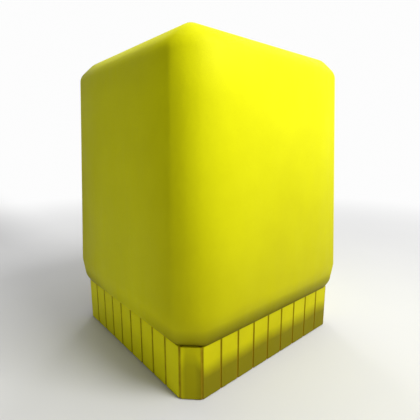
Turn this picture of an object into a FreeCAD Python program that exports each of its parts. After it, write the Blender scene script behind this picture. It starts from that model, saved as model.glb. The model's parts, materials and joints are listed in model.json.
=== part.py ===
import FreeCAD, Part
import math
import os

# Free-standing newspaper vending box.  Millimetres, +Z up, the door faces -Y.
# The origin is the middle of the footprint on the ground.

V = FreeCAD.Vector

# ---------------------------------------------------------------- overall sizes
total_height = 760.0
base_height = 123.0
hip_width = 578.0             # across flats where the body is widest
hip_rise = 72.0               # the widest level above the plinth
waist_rise = 19.0             # middle of the lower bevel above the plinth
shoulder_inset = 22.0         # how far each side leans in from hip to shoulder
waist_inset = 6.0
foot_inset = 17.0
corner_chamfer = 44.0         # leg of the chamfer down each corner
top_chamfer_in = 44.0
top_chamfer_down = 43.0
edge_radius = 30.0            # blend along every edge of the moulded casing
casing_wall = 5.0
casing_flange = 60.0          # width of the casing's bottom flange

# ---------------------------------------------------------------- plinth
skirt_wall = 6.0
skirt_deck = 6.0
skirt_deck_rim = 62.0
skirt_chamfer = 35.0
skirt_lift = 2.0              # the skirt hangs clear of the ground
groove_bays = 9
groove_radius = 2.5
foot_pad_height = 14.0
foot_pad_radius = 32.0
tray_thickness = 4.0
anchor_spacing = 380.0
anchor_hole_radius = 6.5
tie_bolt_inset = 44.0          # tie bolts in from the plinth's faces
tie_bolt_radius = 4.0
ballast_end_room = 37.0        # from the ballast's ends to the plinth's faces
ballast_width = 145.0
ballast_height = 45.0
ballast_gap = 8.0
strap_width = 40.0
strap_thickness = 3.0
floor_plate_thickness = 3.0

# ---------------------------------------------------------------- front opening, frame and door
opening_half_width = 188.0
opening_rise = 90.0           # lower edge of the front opening above the plinth
opening_high = 690.0
opening_corner = 10.0
frame_half_width = 208.0
frame_rise = 77.0
frame_high = 702.0
frame_thickness = 2.5
frame_return = 22.0           # depth of the returned edge round the door aperture
frame_return_wall = 2.0
aperture_half_width = 177.0
aperture_rise = 122.0
aperture_high = 524.0
coin_aperture_half_width = 170.0
coin_aperture_low = 562.0
coin_aperture_high = 676.0
frame_screw_x = 198.0
frame_screw_heights = (360.0, 470.0, 545.0, 610.0, 672.0)
frame_screw_rise = 50.0       # lowest pair above the frame's lower edge
screw_radius = 2.0
trim_screw_radius = 1.6       # small screws of the coin compartment's trim
flat_head_radius = 3.6
flat_head_height = 0.9

door_half_width = 184.0
door_rise = 101.0
door_high = 536.0
door_proud = 6.0              # the door stands this far out of the casing
door_flange = 7.0
door_tub_gap = 5.0            # door tub to aperture edge
door_tub_wall = 3.0
door_tub_back = 22.0
window_half_width = 148.0
window_margin_low = 54.0      # from the door's lower edge to the window
window_high = 484.0
window_lap = 9.0
pane_thickness = 3.0
gasket_thickness = 1.5
retainer_thickness = 2.0
retainer_width = 14.0
seal_width = 4.5

hinge_rise = 95.5
hinge_pin_radius = 2.0
hinge_barrel_wall = 2.0
hinge_half_length = 160.0
hinge_knuckles = 9
leaf_gap = 0.4                # between the two leaves of the closed hinge
leaf_rise = 19.5              # upper edge of the leaves above the hinge axis
door_open_angle = 68.0
running_clearance = 0.08
seat_gap = 0.3

stay_radius = 126.0
stay_band = 14.0
stay_thickness = 3.0
stay_pin_radius = 2.8
stay_pin_angle = 85.0
stay_rivet_rises = (20.0, 40.0)
stay_rivet_depth = 10.0       # behind the door skin
rivet_radius = 1.6
rivet_head_radius = 3.0

handle_half_length = 62.0
handle_bar = 12.0
handle_reach = 28.0
handle_height = 508.0

latch_depth = 92.0
latch_height = 546.0
latch_pin_radius = 2.5
latch_swing = 8.0
latch_tail = 18.0             # spring eye behind the hook's pivot
latch_tab_drop = 24.0         # the spring's lower tab below the pivot
latch_cheek = 9.0             # half the room between the bracket's cheeks
keeper_depth = 46.0
keeper_height = 511.0
keeper_radius = 3.0
keeper_half_length = 14.0

# ---------------------------------------------------------------- coin compartment
fascia_half_width = 184.0
fascia_low = 542.0
fascia_high = 686.0
fascia_thickness = 4.0
vault_half_width = 190.0
vault_floor = 566.0
vault_top = 694.0
vault_depth = 300.0
sheet = 2.0                   # sheet steel of vault, shelf and supports

drawer_left = -160.0
drawer_right = -40.0
drawer_low = 572.0
drawer_high = 632.0
drawer_gap = 1.0
drawer_side_gap = 4.0
drawer_depth = 185.0
drawer_travel = 120.0
lock_x = -100.0
lock_height = 602.0
lock_barrel_radius = 9.5
lock_plug_radius = 6.0
lock_length = 26.0
lock_proud = 1.5              # drawer front and lock seat ahead of the fascia
cam_length = 30.0
cam_thickness = 2.5
cam_gap = 0.2                 # cam behind the lock's end
cam_square = 3.0              # half the plug's square

mech_left = 62.0
mech_right = 158.0
mech_low = 619.0
mech_high = 674.0
mech_depth = 75.0
slot_x = 126.0
slot_width = 3.2
slot_low = 631.0
slot_high = 661.0
slot_plate_half_width = 15.0
slot_plate_margin = 11.0      # plate above and below the slot
slot_plate_proud = 3.0
button_x = 76.0
button_height = 652.0
button_radius = 8.0
button_proud = 6.0
button_travel = 5.0
button_flange = 1.6
lever_room_depth = 17.0       # space between fascia and mechanism at the return button
chute_width = 26.0
chute_front = 38.0
chute_entry = 10.0            # how far the chute reaches into the mechanism

cup_left = 86.0
cup_right = 154.0
cup_low = 570.0
cup_high = 618.0
cup_depth = 50.0
flap_axis_depth = 9.0
flap_axis_height = 611.5
flap_thickness = 2.0
flap_pin_radius = 1.2
flap_side_gap = 3.0

card_left = -156.0
card_right = -44.0
card_low = 645.0
card_high = 681.0
card_bezel = 2.5              # how far the card frame stands off the fascia
card_thickness = 0.6
cover_thickness = 0.8
card_lip = 8.0                # frame's edge to its pocket, at the sides
card_lip_low = 4.0            # and above and below
card_play = 0.2

# ---------------------------------------------------------------- paper shelf
shelf_rise = 91.0
shelf_half_width = 165.0
shelf_front = 30.0            # from the outside of the front wall
shelf_depth = 430.0
shelf_side = 70.0
shelf_back = 150.0

# ---------------------------------------------------------------- worked-out values
hip_half = hip_width / 2
hip_height = base_height + hip_rise
shoulder_half = hip_half - shoulder_inset
waist_half = hip_half - waist_inset
waist_height = base_height + waist_rise
foot_half = hip_half - foot_inset
foot_width = 2 * foot_half
shoulder_height = total_height - top_chamfer_down
tie_bolt_spacing = foot_width - 2 * tie_bolt_inset
ballast_length = foot_width - 2 * ballast_end_room
opening_low = base_height + opening_rise
frame_low = base_height + frame_rise
aperture_low = base_height + aperture_rise
door_low = base_height + door_rise
window_low = door_low + window_margin_low
hinge_height = base_height + hinge_rise
leaf_top = hinge_height + leaf_rise
shelf_height = base_height + shelf_rise
hinge_barrel_radius = hinge_pin_radius + hinge_barrel_wall
draft = math.degrees(math.atan2(hip_half - shoulder_half, shoulder_height - hip_height))
frame_back = casing_wall + frame_thickness
door_face = -door_proud
door_back = door_face + door_flange
hinge_depth = (casing_wall + door_back) / 2
leaf_thickness = (casing_wall - door_back - leaf_gap) / 2
tub_half_width = aperture_half_width - door_tub_gap
tub_low = aperture_low + door_tub_gap
tub_high = aperture_high - door_tub_gap
fascia_face = casing_wall - fascia_thickness
deck_top = base_height
casing_floor_top = base_height + casing_wall
floor_plate_top = casing_floor_top + floor_plate_thickness
tray_top = foot_pad_height + tray_thickness


# ---------------------------------------------------------------- small helpers
def box(x0, x1, y0, y1, z0, z1):
    return Part.makeBox(x1 - x0, y1 - y0, z1 - z0, V(x0, y0, z0))


def rod(radius, start, end):
    start, end = V(*start), V(*end)
    return Part.makeCylinder(radius, (end - start).Length, start, end - start)


def cross_rod(radius, x0, x1, depth, height):
    """A rod along X at one depth and height."""
    return rod(radius, (x0, depth, height), (x1, depth, height))


def depth_rod(radius, x, height, depth0, depth1):
    """A rod along Y between two depths."""
    return rod(radius, (x, depth0, height), (x, depth1, height))


def fuse(shapes):
    return shapes[0].multiFuse(list(shapes[1:])).removeSplitter() if len(shapes) > 1 else shapes[0]


def cut(shape, tools):
    return shape.cut(list(tools)).removeSplitter()


def rounded_box(x0, x1, y0, y1, z0, z1, radius):
    """A box whose four edges along Y are rounded."""
    shape = box(x0, x1, y0, y1, z0, z1)
    edges = [e for e in shape.Edges if abs(e.tangentAt(e.FirstParameter).y) > 0.99]
    return shape.makeFillet(radius, edges)


def ring(outer, inner, depth0, depth1, radius=0.0):
    """A rectangular ring; outer and inner are (half width, low, high)."""
    def block(half, low, high, y0, y1, r):
        if r > 0:
            return rounded_box(-half, half, y0, y1, low, high, r)
        return box(-half, half, y0, y1, low, high)
    hole = block(*inner, depth0 - 1, depth1 + 1, max(radius - 4, 0))
    return block(*outer, depth0, depth1, radius).cut(hole)


def octagon(half, chamfer, z):
    points = []
    for quarter in range(4):
        turn = FreeCAD.Rotation(V(0, 0, 1), 90 * quarter)
        points.append(turn.multVec(V(half, half - chamfer, z)))
        points.append(turn.multVec(V(half - chamfer, half, z)))
    return Part.makePolygon(points + points[:1])


def octagon_prism(half, chamfer, z0, z1):
    return Part.Face(octagon(half, chamfer, z0)).extrude(V(0, 0, z1 - z0))


def on_front(shape):
    """Move a shape from (x, depth behind the front face, height) to its place on the drafted front."""
    placed = shape.copy()
    placed.translate(V(0, -hip_half, 0))
    placed.rotate(V(0, -hip_half, hip_height), V(1, 0, 0), -draft)
    return placed


def spread(shape, offsets):
    """Copies of one shape at each offset, as one group of separate solids."""
    copies = []
    for offset in offsets:
        one = shape.copy()
        one.translate(V(*offset))
        copies.append(one)
    return Part.makeCompound(copies)


def group(shapes):
    return Part.makeCompound([solid for shape in shapes for solid in shape.Solids])


def mirror_x(shape):
    return shape.mirror(V(0, 0, 0), V(1, 0, 0))


def pan_screw(x, z, depth, length, radius=screw_radius):
    """A pan-head screw whose head sits on the plane y = depth, pointing +Y."""
    head = Part.makeCylinder(2 * radius, 1.1 * radius, V(x, depth - 1.1 * radius, z), V(0, 1, 0))
    rim = [e for e in head.Edges if e.Length > 6 * radius and e.CenterOfMass.y < depth - radius]
    head = head.makeFillet(0.6 * radius, rim)
    cross = [box(x - 1.4 * radius, x + 1.4 * radius, depth - 1.2 * radius, depth - 0.6 * radius,
                 z - 0.2 * radius, z + 0.2 * radius),
             box(x - 0.2 * radius, x + 0.2 * radius, depth - 1.2 * radius, depth - 0.6 * radius,
                 z - 1.4 * radius, z + 1.4 * radius)]
    return fuse([cut(head, cross), depth_rod(radius, x, z, depth - 0.5 * radius, depth + length)])


def screw_hole(x, z, depth0, depth1, radius=screw_radius):
    return depth_rod(radius + 0.1, x, z, depth0, depth1)


def hex_prism(across, z0, z1, x=0.0, y=0.0):
    points = [V(x + across / math.sqrt(3) * math.cos(math.radians(60 * i)),
                y + across / math.sqrt(3) * math.sin(math.radians(60 * i)), z0) for i in range(7)]
    return Part.Face(Part.makePolygon(points)).extrude(V(0, 0, z1 - z0))


def coil(radius, wire, pitch, height):
    """A helical spring standing on the origin along +Z."""
    helix = Part.makeHelix(pitch, height, radius)
    section = Part.Wire(Part.makeCircle(wire, V(radius, 0, 0), V(0, 1, 0)))
    return Part.Wire(helix.Edges).makePipeShell([section], True, True)


def corner_places(spacing):
    half = spacing / 2
    return [(sx * half, sy * half, 0) for sx in (-1, 1) for sy in (-1, 1)]


# ---------------------------------------------------------------- casing
def casing_planes():
    """Outward planes of the sharp-edged casing, as (normal, point)."""
    planes = []

    def add(points):
        a, b, c = (V(*p) for p in points)
        normal = (b - a).cross(c - a).normalize()
        outward = normal if normal.dot(a - V(0, 0, hip_height + 100)) > 0 else normal * -1
        planes.append((outward, a))

    levels = [(shoulder_half, shoulder_height), (hip_half, hip_height),
              (waist_half, waist_height), (foot_half, base_height)]
    top_half = shoulder_half - top_chamfer_in
    add([(0, 0, total_height), (1, 0, total_height), (0, 1, total_height)])
    for quarter in range(4):
        turn = FreeCAD.Rotation(V(0, 0, 1), 90 * quarter)

        def at(x, y, z):
            return tuple(turn.multVec(V(x, y, z)))

        for (half_a, z_a), (half_b, z_b) in zip(levels, levels[1:]):
            add([at(half_a, 0, z_a), at(half_a, 50, z_a), at(half_b, 0, z_b)])
            add([at(half_a, half_a - corner_chamfer, z_a), at(half_a - corner_chamfer, half_a, z_a),
                 at(half_b, half_b - corner_chamfer, z_b)])
        add([at(shoulder_half, 0, shoulder_height), at(shoulder_half, 50, shoulder_height),
             at(top_half, 0, total_height)])
        add([at(shoulder_half, shoulder_half - corner_chamfer, shoulder_height),
             at(shoulder_half - corner_chamfer, shoulder_half, shoulder_height),
             at(top_half, top_half, total_height)])
    return planes


def casing_core():
    """The casing's form shrunk by the edge radius; growing it back rounds every edge."""
    core = box(-hip_half, hip_half, -hip_half, hip_half, 0, total_height + 10)
    reach = 4 * total_height
    for normal, point in casing_planes():
        outside = Part.makeBox(reach, reach, reach, V(-reach / 2, -reach / 2, 0))
        outside.Placement = FreeCAD.Placement(point - normal * edge_radius,
                                              FreeCAD.Rotation(V(0, 0, 1), normal))
        core = core.cut(outside)
    return core.removeSplitter()


def grown(core, amount):
    return core.makeOffsetShape(amount, 1e-3, False, False, 0, 0)


def frame_screw_places():
    heights = (frame_low + frame_screw_rise,) + frame_screw_heights
    return [(side * frame_screw_x, z) for side in (-1, 1) for z in heights]


def make_casing(core):
    outer = grown(core, edge_radius)
    inner = grown(core, edge_radius - casing_wall)
    span = hip_width
    outer = outer.cut(box(-span, span, -span, span, -span, base_height))
    inner = inner.cut(box(-span, span, -span, span, -span, casing_floor_top))
    throat = foot_half - casing_flange
    tools = [inner, box(-throat, throat, -throat, throat, base_height - 1, casing_floor_top + 1)]
    tools.append(on_front(rounded_box(-opening_half_width, opening_half_width, -40, casing_wall + 4,
                                      opening_low, opening_high, opening_corner)))
    tools += [on_front(screw_hole(x, z, -5, casing_wall + 5)) for x, z in frame_screw_places()]
    hole = rod(tie_bolt_radius + 0.1, (0, 0, base_height - 1), (0, 0, casing_floor_top + 1))
    tools += spread(hole, corner_places(tie_bolt_spacing)).Solids
    for tool in tools:
        outer = outer.cut(tool)
    return outer


# ---------------------------------------------------------------- plinth
def make_base_skirt():
    outer = octagon_prism(foot_half, skirt_chamfer, skirt_lift, deck_top)
    inner_chamfer = skirt_chamfer + skirt_wall * (math.sqrt(2) - 2)
    hollow = octagon_prism(foot_half - skirt_wall, inner_chamfer, skirt_lift - 1, deck_top - skirt_deck)
    throat = foot_half - skirt_deck_rim
    tools = [hollow, box(-throat, throat, -throat, throat, 0, deck_top + 1)]
    straight = foot_width - 2 * skirt_chamfer
    pitch = straight / groove_bays
    groove = Part.makeCylinder(groove_radius, deck_top, V(foot_half, 0, 0))
    for quarter in range(4):
        for line in range(groove_bays + 1):
            one = groove.copy()
            one.translate(V(0, -straight / 2 + line * pitch, 0))
            one.rotate(V(0, 0, 0), V(0, 0, 1), 90 * quarter)
            tools.append(one)
    hole = rod(tie_bolt_radius + 0.1, (0, 0, deck_top - skirt_deck - 1), (0, 0, deck_top + 1))
    tools += spread(hole, corner_places(tie_bolt_spacing)).Solids
    return cut(outer, tools)


def make_base_tray():
    half = foot_half - skirt_wall - 1
    plate = octagon_prism(half, skirt_chamfer, foot_pad_height, tray_top)
    tools = spread(rod(anchor_hole_radius, (0, 0, 0), (0, 0, 50)), corner_places(anchor_spacing)).Solids
    bolt_hole = rod(tie_bolt_radius + 0.1, (0, 0, 0), (0, 0, 50))
    tools += spread(bolt_hole, corner_places(tie_bolt_spacing)).Solids
    tools += [rod(screw_radius + 0.6, (x, 0, 0), (x, 0, 50)) for x in strap_bolt_xs()]
    return cut(plate, tools)


def make_foot_pads():
    pad = Part.makeCylinder(foot_pad_radius, foot_pad_height)
    pad = pad.cut(Part.makeCylinder(anchor_hole_radius, foot_pad_height))
    return spread(pad, corner_places(anchor_spacing))


def make_ballast():
    slab = box(-ballast_length / 2, ballast_length / 2, ballast_gap / 2, ballast_gap / 2 + ballast_width,
               tray_top, tray_top + ballast_height)
    upright = [e for e in slab.Edges if abs(e.tangentAt(0).z) > 0.99]
    slab = slab.makeFillet(6, upright)
    return Part.makeCompound([slab, slab.mirror(V(0, 0, 0), V(0, 1, 0))])


def strap_foot_x():
    return ballast_length / 2 + 2


def strap_bolt_xs():
    x = strap_foot_x() + strap_thickness + 8
    return (-x, x)


def make_ballast_strap():
    """A hat strap over both slabs, bolted to the tray at each end."""
    top = tray_top + ballast_height
    x = strap_foot_x()
    half = strap_width / 2
    parts = [box(-x - strap_thickness, x + strap_thickness, -half, half, top, top + strap_thickness)]
    for side in (-1, 1):
        leg = sorted((side * x, side * (x + strap_thickness)))
        foot = sorted((side * x, side * (x + strap_thickness + 15)))
        parts.append(box(*leg, -half, half, tray_top, top + strap_thickness))
        parts.append(box(*foot, -half, half, tray_top, tray_top + strap_thickness))
    holes = [rod(screw_radius + 0.6, (bx, 0, 0), (bx, 0, 50)) for bx in strap_bolt_xs()]
    return cut(fuse(parts), holes)


def make_strap_bolts():
    foot_top = tray_top + strap_thickness
    bolts = []
    for x in strap_bolt_xs():
        shank = rod(screw_radius + 0.5, (x, 0, foot_pad_height - 5), (x, 0, foot_top + 1))
        bolts.append(fuse([hex_prism(8, foot_top, foot_top + 3.5, x), shank]))
        nut = hex_prism(8, foot_pad_height - 3.5, foot_pad_height, x)
        bolts[-1] = fuse([bolts[-1], nut])
    return Part.makeCompound(bolts)


def make_tie_bolts():
    """Long bolts that clamp cabinet floor, casing, plinth and tray together."""
    washer = Part.makeCylinder(9, 1.6, V(0, 0, floor_plate_top))
    head = hex_prism(13, floor_plate_top + 1.6, floor_plate_top + 6.9)
    shank = rod(tie_bolt_radius, (0, 0, 3.5), (0, 0, floor_plate_top + 2))
    return spread(fuse([washer, head, shank]), corner_places(tie_bolt_spacing))


def make_tie_nuts():
    nut = hex_prism(13, foot_pad_height - 6.5, foot_pad_height)
    nut = nut.cut(Part.makeCylinder(tie_bolt_radius + 0.05, 30))
    return spread(nut, corner_places(tie_bolt_spacing))


def make_cabinet_floor():
    half = foot_half - casing_wall - 4
    plate = octagon_prism(half, corner_chamfer + 6, casing_floor_top, floor_plate_top)
    bolt_hole = rod(tie_bolt_radius + 0.1, (0, 0, base_height), (0, 0, shelf_height))
    tools = spread(bolt_hole, corner_places(tie_bolt_spacing)).Solids
    tools += [rod(screw_radius + 0.1, (x, y, base_height), (x, y, shelf_height))
              for x, y in support_screw_places()]
    return cut(plate, tools)


# ---------------------------------------------------------------- paper shelf
def support_line():
    return shelf_half_width - 45


def support_screw_places():
    return [(side * (support_line() + 24), y) for side in (-1, 1) for y in (-190, 90)]


def shelf_span():
    start = -hip_half + shelf_front
    return start, start + shelf_depth


def make_shelf_supports():
    """Two Z-section supports that stand on the cabinet floor and carry the shelf."""
    start, end = shelf_span()
    x, low, high = support_line(), floor_plate_top, shelf_height
    web = box(x, x + sheet, start + 10, end - 10, low, high)
    foot = box(x, x + 36, start + 10, end - 10, low, low + sheet)
    head = box(x - 24, x + sheet, start + 10, end - 10, high - sheet, high)
    support = fuse([web, foot, head])
    holes = [rod(screw_radius + 0.1, (px, py, 100), (px, py, low + 10)) for px, py in support_screw_places()
             if px > 0]
    support = cut(support, holes)
    return Part.makeCompound([support, mirror_x(support)])


def make_support_screws():
    screws = []
    for x, y in support_screw_places():
        head = Part.makeCylinder(2 * screw_radius, 2.2, V(x, y, floor_plate_top + sheet))
        shank = rod(screw_radius, (x, y, casing_floor_top - 1), (x, y, floor_plate_top + sheet + 1))
        screws.append(fuse([head, shank]))
    return Part.makeCompound(screws)


def make_paper_shelf():
    """A folded sheet tray: floor, two low sides, a tall back and a rolled front lip."""
    start, end = shelf_span()
    half = shelf_half_width
    floor = box(-half, half, start, end, shelf_height, shelf_height + sheet)
    side = box(half - sheet, half, start + 40, end, shelf_height, shelf_height + shelf_side)
    back = box(-half, half, end - sheet, end, shelf_height, shelf_height + shelf_back)
    lip = box(-half, half, start, start + sheet, shelf_height - 12, shelf_height + sheet)
    return fuse([floor, side, mirror_x(side), back, lip])


# ---------------------------------------------------------------- front frame
def make_front_frame():
    plate = box(-frame_half_width, frame_half_width, casing_wall, frame_back, frame_low, frame_high)
    returned = ring((aperture_half_width + frame_return_wall, aperture_low - frame_return_wall,
                     aperture_high + frame_return_wall),
                    (aperture_half_width, aperture_low, aperture_high),
                    casing_wall, frame_back + frame_return)
    body = fuse([plate, returned])
    slot_half = door_half_width - 0.5
    tools = [box(-aperture_half_width, aperture_half_width, 0, frame_back + 1, aperture_low, aperture_high),
             box(-coin_aperture_half_width, coin_aperture_half_width, 0, frame_back + 1,
                 coin_aperture_low, coin_aperture_high),
             box(-slot_half, slot_half, 0, frame_back + 1, opening_low + 0.5,
                 hinge_height + hinge_barrel_radius + 1)]
    tools += [screw_hole(x, z, 0, 20) for x, z in frame_screw_places()]
    tools += [screw_hole(x, z, 0, 20) for x, z in leaf_screw_places()]
    tools += [screw_hole(x, z, 0, 20) for x, z in fascia_screw_places()]
    tools += [screw_hole(x, z, 0, 20) for x, z in latch_screw_places()]
    for side in (-1, 1):
        v, w = stay_pin_place()
        tools.append(cross_rod(stay_pin_radius - 0.7, side * 170, side * 190, v, w))
    return cut(body, tools)


def make_frame_screws():
    return Part.makeCompound([pan_screw(x, z, 0, frame_back + 6) for x, z in frame_screw_places()])


def make_frame_nuts():
    nuts = []
    for x, z in frame_screw_places():
        seat = frame_back + (sheet if z > vault_floor else 0)
        nut = hex_prism(7, 0, 3.2)
        nut = nut.cut(Part.makeCylinder(screw_radius + 0.05, 5))
        nut.rotate(V(0, 0, 0), V(1, 0, 0), -90)
        nut.translate(V(x, seat, z))
        nuts.append(nut)
    return Part.makeCompound(nuts)


def make_weather_seal():
    gap = casing_wall - door_back
    inner = (aperture_half_width + 1.5, aperture_low + 0.5, aperture_high + 4)
    outer = (inner[0] + seal_width, aperture_low - seal_width + 0.5, inner[2] + seal_width)
    return ring(outer, inner, casing_wall - gap + seat_gap, casing_wall)


# ---------------------------------------------------------------- hinge
def leaf_screw_places():
    return [(x, leaf_top - 6) for x in (-130, -45, 45, 130)]


def knuckle_spans(moving):
    pitch = 2 * hinge_half_length / hinge_knuckles
    return [(-hinge_half_length + i * pitch + 0.25, -hinge_half_length + (i + 1) * pitch - 0.25)
            for i in range(hinge_knuckles) if (i % 2 == 1) == moving]


def hinge_leaf(moving, depth0, screws):
    """One leaf of the long hinge: a flat strip with every second knuckle."""
    depth1 = depth0 + leaf_thickness
    strip_low = hinge_height + hinge_barrel_radius + 0.6
    parts = [box(-hinge_half_length, hinge_half_length, depth0, depth1, strip_low, leaf_top)]
    for x0, x1 in knuckle_spans(moving):
        parts.append(cross_rod(hinge_barrel_radius, x0, x1, hinge_depth, hinge_height))
        parts.append(box(x0, x1, depth0, depth1, hinge_height, strip_low + 1))
    bore = cross_rod(hinge_pin_radius + running_clearance, -200, 200, hinge_depth, hinge_height)
    face, inward = (depth1, -1) if moving else (depth0, 1)
    tools = [bore] + [screw_hole(x, z, -10, 10) for x, z in screws]
    return cut(fuse(parts), tools + [counterbore(x, z, face, inward) for x, z in screws])


def door_leaf_screw_places():
    return [(x, leaf_top - 6) for x in (-150, -87, 87, 150)]


def make_hinge_pin():
    end = hinge_half_length + 20
    pin = cross_rod(hinge_pin_radius, -end, end, hinge_depth, hinge_height)
    cap = cross_rod(hinge_pin_radius + 1, end, end + 1.5, hinge_depth, hinge_height)
    return fuse([pin, cap, mirror_x(cap)])


def flat_screw(x, z, depth_head, depth_end):
    """A low-head screw between two depths, head at depth_head."""
    step = flat_head_height if depth_end > depth_head else -flat_head_height
    head = depth_rod(flat_head_radius, x, z, depth_head, depth_head + step)
    return fuse([head, depth_rod(screw_radius, x, z, depth_head, depth_end)])


def counterbore(x, z, face, inward):
    """Room for a low head that lies flush with a face."""
    return depth_rod(flat_head_radius + 0.1, x, z, face - inward, face + inward * flat_head_height)


def make_frame_leaf_screws():
    front = casing_wall - leaf_thickness
    return Part.makeCompound([flat_screw(x, z, front, frame_back + 3) for x, z in leaf_screw_places()])


def make_door_leaf_screws():
    back = door_back + leaf_thickness
    return Part.makeCompound([flat_screw(x, z, back, door_back - 5) for x, z in door_leaf_screw_places()])


def make_door_springs():
    """Torsion springs on the two ends of the hinge pin."""
    wire, length = 0.8, 14.0
    mean = hinge_pin_radius + wire + seat_gap
    body = coil(mean, wire, 2.0, length)
    body.rotate(V(0, 0, 0), V(0, 1, 0), 90)
    body.translate(V(hinge_half_length + 2.5, hinge_depth, hinge_height))
    x0 = hinge_half_length + 2.5
    leg_high = leaf_top - 2
    front_leg = rod(wire, (x0, door_back + 0.9, hinge_height + 2), (x0, door_back + 0.9, leg_high))
    rear_leg = rod(wire, (x0 + length, casing_wall - 0.9, hinge_height + 2),
                   (x0 + length, casing_wall - 0.9, leg_high))
    spring = fuse([body, front_leg, rear_leg])
    return Part.makeCompound([spring, mirror_x(spring)])


# ---------------------------------------------------------------- door
def tub_outline():
    return tub_half_width, tub_low, tub_high


def make_door_frame():
    flange = rounded_box(-door_half_width, door_half_width, door_face, door_back, door_low, door_high, 8)
    front_edges = [e for e in flange.Edges if abs(e.CenterOfMass.y - door_face) < 0.01]
    flange = flange.makeFillet(2.5, front_edges)
    half, low, high = tub_outline()
    tub = ring((half, low, high), (half - door_tub_wall, low + door_tub_wall, high - door_tub_wall),
               door_back - 1, door_tub_back)
    tools = [rounded_box(-window_half_width, window_half_width, door_face - 5, door_back + 1,
                         window_low, window_high, 14)]
    tools += [screw_hole(x, z, door_back - 5.2, door_back + 5) for x, z in door_leaf_screw_places()]
    tools += [screw_hole(x, z, door_back - 5.2, door_back + 5) for x, z in retainer_screw_places()]
    tools += [depth_rod(2.6, x, handle_height, door_face - 1, door_back + 1)
              for x in handle_screw_xs()]
    tools += [rod(2.1, (x, keeper_base_depth(), tub_high - 10), (x, keeper_base_depth(), tub_high + 5))
              for x in keeper_screw_xs()]
    return cut(fuse([flange, tub]), tools)


def pane_outline():
    return window_half_width + window_lap, window_low - window_lap, window_high + window_lap


def make_window_gasket():
    half, low, high = pane_outline()
    lap = window_lap - 1
    return ring((half, low, high), (half - lap, low + lap, high - lap),
                door_back, door_back + gasket_thickness)


def make_door_window():
    half, low, high = pane_outline()
    start = door_back + gasket_thickness
    return rounded_box(-half, half, start, start + pane_thickness, low, high, 6)


def retainer_start():
    return door_back + gasket_thickness + pane_thickness


def retainer_screw_places():
    half, low, high = pane_outline()
    out = 4.5
    places = [(side * (half + out), z) for side in (-1, 1) for z in (low + 25, (low + high) / 2, high - 25)]
    return places + [(x, z) for x in (-75, 75) for z in (low - out, high + out)]


def make_window_retainer():
    """A sheet frame that presses the pane on its gasket; its feet reach the door skin."""
    half, low, high = pane_outline()
    start = retainer_start()
    out = 9.0
    outer = (half + out, low - out, high + out)
    inner = (half - window_lap + 1, low + window_lap - 1, high - window_lap + 1)
    plate = ring(outer, inner, start, start + retainer_thickness)
    skirt = ring(outer, (half + 0.5, low - 0.5, high + 0.5), door_back, start + 0.5)
    tools = [screw_hole(x, z, door_back - 1, start + 5) for x, z in retainer_screw_places()]
    return cut(fuse([plate, skirt]), tools)


def make_retainer_screws():
    back = retainer_start() + retainer_thickness
    head_top = back + flat_head_height
    return Part.makeCompound([flat_screw(x, z, head_top, door_back - 5)
                              for x, z in retainer_screw_places()])


def make_display_clips():
    """Four leaf-spring clips on the retainer that hold the display copy against the pane."""
    half, low, high = pane_outline()
    back = retainer_start() + retainer_thickness
    gauge, width = 0.8, 14.0
    foot, reach, lift = 10.0, 34.0, 4.0
    clips = []
    for side in (-1, 1):
        for z in (low + 60, high - 60):
            x = half + 4
            profile = [(x, back), (x, back + gauge), (x - foot, back + gauge),
                       (x - foot - 6, back + lift + gauge), (x - reach, back + 1 + gauge),
                       (x - reach, back + 1), (x - foot - 6, back + lift), (x - foot, back)]
            points = [V(side * px, py, z - width / 2) for px, py in profile]
            face = Part.Face(Part.makePolygon(points + points[:1]))
            clips.append(face.extrude(V(0, 0, width)))
    return Part.makeCompound(clips)


def handle_screw_xs():
    return (-handle_half_length + 10, handle_half_length - 10)


def make_door_handle():
    """A bow handle: a round-edged bar on two feet."""
    half, bar = handle_half_length, handle_bar
    front = door_face - handle_reach
    low, high = handle_height - bar / 2, handle_height + bar / 2
    grip = box(-half, half, front, front + bar * 0.75, low, high)
    grip = grip.makeFillet(3.0, grip.Edges)
    feet = [box(x - 7, x + 7, front + bar / 2, door_face, low + 1, high - 1) for x in handle_screw_xs()]
    feet = [foot.makeFillet(3.0, [e for e in foot.Edges if abs(e.tangentAt(0).y) > 0.99]) for foot in feet]
    body = fuse([grip] + feet)
    holes = [depth_rod(2.1, x, handle_height, door_face - 14, door_face + 1)
             for x in handle_screw_xs()]
    return cut(body, holes)


def make_handle_screws():
    screws = []
    for x in handle_screw_xs():
        head = depth_rod(4.5, x, handle_height, door_back, door_back + 2.4)
        screws.append(fuse([head, depth_rod(2.0, x, handle_height, door_face - 13, door_back + 1)]))
    return Part.makeCompound(screws)


def stay_pin_place():
    angle = math.radians(stay_pin_angle)
    return hinge_depth + stay_radius * math.cos(angle), hinge_height + stay_radius * math.sin(angle)


def arc_band(inner, outer, start, end, x0, x1):
    """A flat curved band round the hinge axis; angles from straight back, rising."""
    centre = V(0, hinge_depth, hinge_height)

    def point(radius, angle):
        a = math.radians(angle)
        return centre + V(0, radius * math.cos(a), radius * math.sin(a))

    middle = (start + end) / 2
    edges = [Part.Arc(point(outer, start), point(outer, middle), point(outer, end)).toShape(),
             Part.LineSegment(point(outer, end), point(inner, end)).toShape(),
             Part.Arc(point(inner, end), point(inner, middle), point(inner, start)).toShape(),
             Part.LineSegment(point(inner, start), point(outer, start)).toShape()]
    face = Part.Face(Part.Wire(edges))
    face.translate(V(x0, 0, 0))
    return face.extrude(V(x1 - x0, 0, 0))


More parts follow.
